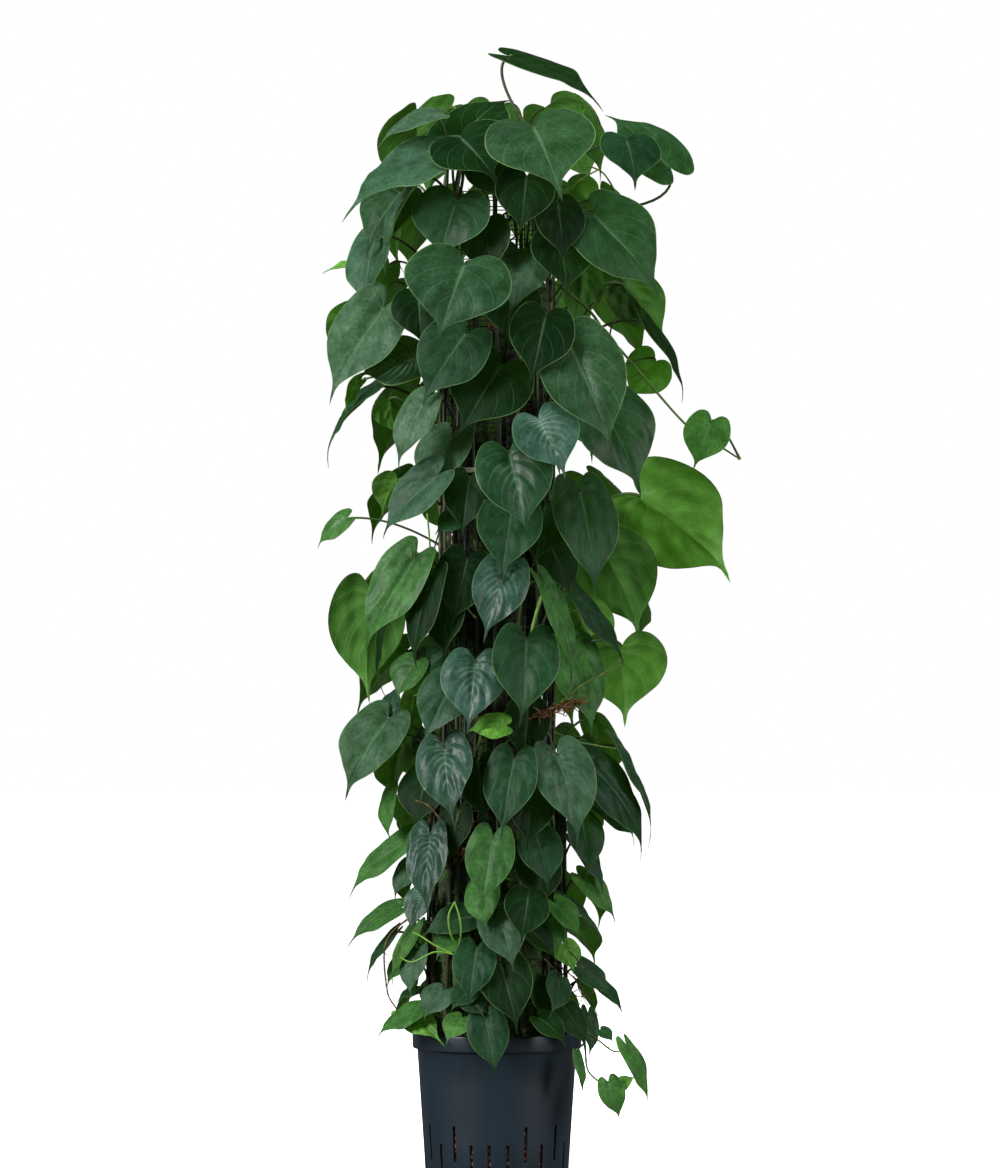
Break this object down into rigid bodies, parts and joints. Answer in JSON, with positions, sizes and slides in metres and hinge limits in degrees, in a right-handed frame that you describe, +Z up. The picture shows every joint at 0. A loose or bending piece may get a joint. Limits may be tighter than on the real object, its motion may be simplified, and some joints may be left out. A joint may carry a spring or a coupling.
{
  "type": "potted heartleaf philodendron",
  "caption": "Tall heartleaf philodendron climbing a moss-filled mesh column in a plastic culture pot, with a trailing shoot over the rim.",
  "frame": {"origin": "centre of the pot's flat base, on the surface that it stands on", "axes": "+Z up the column; the plant's best side faces -Y, with +X to its right"},
  "size_m": [0.5498, 0.4235, 1.4693],
  "materials": {
    "pot_plastic": "satin",
    "fired_clay": "matte",
    "moss": "matte",
    "coated_wire": "satin",
    "band_plastic": "matte",
    "living_plant": "satin"
  },
  "bodies": {
    "root": {"pot": "pot_plastic", "clay_granules": "fired_clay", "moss_core": "moss", "moss_sleeve": "moss", "wire_mesh": "coated_wire", "tie_band": "band_plastic", "support_rod_left": "coated_wire", "support_rod_right": "coated_wire", "vine_01": "living_plant", "vine_02": "living_plant", "vine_03": "living_plant", "vine_04": "living_plant", "vine_05": "living_plant", "vine_06": "living_plant", "vine_07": "living_plant", "vine_08": "living_plant", "vine_09": "living_plant", "vine_10": "living_plant", "vine_11": "living_plant", "vine_12": "living_plant", "vine_13": "living_plant", "vine_14": "living_plant", "vine_15": "living_plant", "vine_16": "living_plant", "vine_trailing": "living_plant"}
  },
  "joints": []
}
